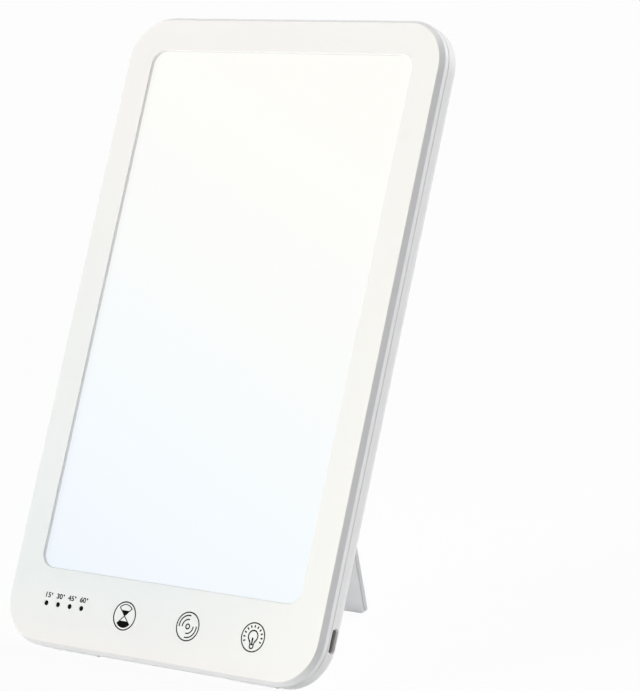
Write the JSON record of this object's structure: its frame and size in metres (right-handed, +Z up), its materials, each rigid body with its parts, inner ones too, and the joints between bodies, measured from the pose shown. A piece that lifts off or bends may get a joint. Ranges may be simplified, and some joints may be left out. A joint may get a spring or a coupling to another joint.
{
  "type": "light therapy lamp",
  "caption": "Slim portrait light therapy lamp: a white slab with a large lit opal window, touch controls below it and a folding leg at the back that holds it leaning back.",
  "frame": {"origin": "on the table, under the middle of the standing lamp's bounding box", "axes": "+Z up, -Y the way the lit front faces, +X to the viewer's right, the side with the USB-C socket"},
  "size_m": [0.1482, 0.1114, 0.2196],
  "materials": {
    "case_white": "fine satin white ABS",
    "leg_white": "fine satin white ABS",
    "opal_panel": "opal acrylic, lit from behind",
    "film": "frosted film",
    "clear_acrylic": "clear polished acrylic",
    "reflector": "white reflector film",
    "foam": "black closed foam",
    "conductive_foam": "grey conductive foam",
    "tray_metal": "plain sheet",
    "board_white": "white solder mask",
    "board_green": "green solder mask",
    "led_warm": "phosphor, warm",
    "led_daylight": "phosphor, daylight",
    "copper": "bright copper foil",
    "chip_black": "black moulding compound",
    "connector": "natural nylon",
    "steel": "zinc plated",
    "socket_steel": "nickel plated, in shade",
    "tongue_black": "black",
    "pipe_smoke": "dark smoked acrylic",
    "capacitor_can": "drawn can",
    "pad_rubber": "light grey silicone rubber"
  },
  "bodies": {
    "lamp": {"back_pad_bottom_left": "pad_rubber", "back_pad_bottom_right": "pad_rubber", "back_pad_top_left": "pad_rubber", "back_pad_top_right": "pad_rubber", "board_screws": "steel", "capacitors": "capacitor_can", "case_screws": "steel", "control_board": "board_green", "daylight_leds_left": "led_daylight", "daylight_leds_right": "led_daylight", "diffuser_panel": "opal_panel", "diffusion_film": "film", "dust_gasket": "foam", "floor_strip_left": "pad_rubber", "floor_strip_right": "pad_rubber", "front_bezel": "case_white", "indicator_leds": "led_daylight", "indicator_light_pipes": "pipe_smoke", "led_board_left": "board_white", "led_board_right": "board_white", "led_connector_left": "connector", "led_connector_right": "connector", "led_drivers": "chip_black", "light_guide_plate": "clear_acrylic", "light_tray": "tray_metal", "microcontroller": "chip_black", "power_inductor": "chip_black", "rear_shell": "case_white", "reflector_sheet": "reflector", "touch_column_brightness": "conductive_foam", "touch_column_timer": "conductive_foam", "touch_column_tone": "conductive_foam", "touch_controller": "chip_black", "touch_pad_brightness": "copper", "touch_pad_timer": "copper", "touch_pad_tone": "copper", "tray_screws": "steel", "usb_socket_shell": "socket_steel", "usb_socket_tongue": "tongue_black", "warm_leds_left": "led_warm", "warm_leds_right": "led_warm"},
    "leg": {"kickstand_leg": "leg_white", "hinge_pin_left": "steel", "hinge_pin_right": "steel"}
  },
  "joints": [
    {"name": "kickstand", "type": "hinge", "parent": "lamp", "child": "leg", "pos_m": [0, 0.01678, 0.13562], "axis": [1, 0, 0], "range_deg": [-34, 0]}
  ]
}
